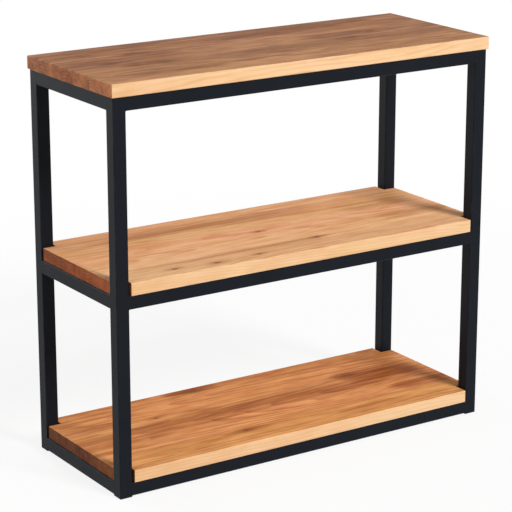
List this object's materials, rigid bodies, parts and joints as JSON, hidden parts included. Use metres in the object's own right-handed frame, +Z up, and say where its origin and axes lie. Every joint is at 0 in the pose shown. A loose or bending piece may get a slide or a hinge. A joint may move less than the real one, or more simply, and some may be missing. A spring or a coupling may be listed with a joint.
{
  "type": "shoe rack",
  "caption": "Open shoe rack: a welded black square-tube steel frame that carries a wooden top board and wooden shelves notched round the posts.",
  "frame": {"origin": "on the floor, at the middle of the footprint", "axes": "+X along the width, to the right seen from the front; +Y towards the back; +Z up"},
  "size_m": [0.806, 0.306, 0.746],
  "materials": {
    "frame_black": "satin black powder coat over welded mild steel",
    "board_wood": "edge-glued knotty softwood, oiled to a warm honey brown",
    "glide_plastic": "moulded black plastic",
    "screw_zinc": "bright zinc plate"
  },
  "bodies": {
    "root": {"post_front_left": "frame_black", "post_front_right": "frame_black", "post_back_left": "frame_black", "post_back_right": "frame_black", "bottom_rail_front": "frame_black", "bottom_rail_back": "frame_black", "bottom_rail_left": "frame_black", "bottom_rail_right": "frame_black", "middle_rail_front": "frame_black", "middle_rail_back": "frame_black", "middle_rail_left": "frame_black", "middle_rail_right": "frame_black", "top_rail_front": "frame_black", "top_rail_back": "frame_black", "top_rail_left": "frame_black", "top_rail_right": "frame_black", "bottom_frame_welds": "frame_black", "middle_frame_welds": "frame_black", "top_frame_welds": "frame_black", "top_board": "board_wood", "middle_shelf_board": "board_wood", "bottom_shelf_board": "board_wood", "glide_front_left": "glide_plastic", "glide_front_right": "glide_plastic", "glide_back_left": "glide_plastic", "glide_back_right": "glide_plastic", "top_board_screws": "screw_zinc", "middle_shelf_screws": "screw_zinc", "bottom_shelf_screws": "screw_zinc"}
  },
  "joints": []
}
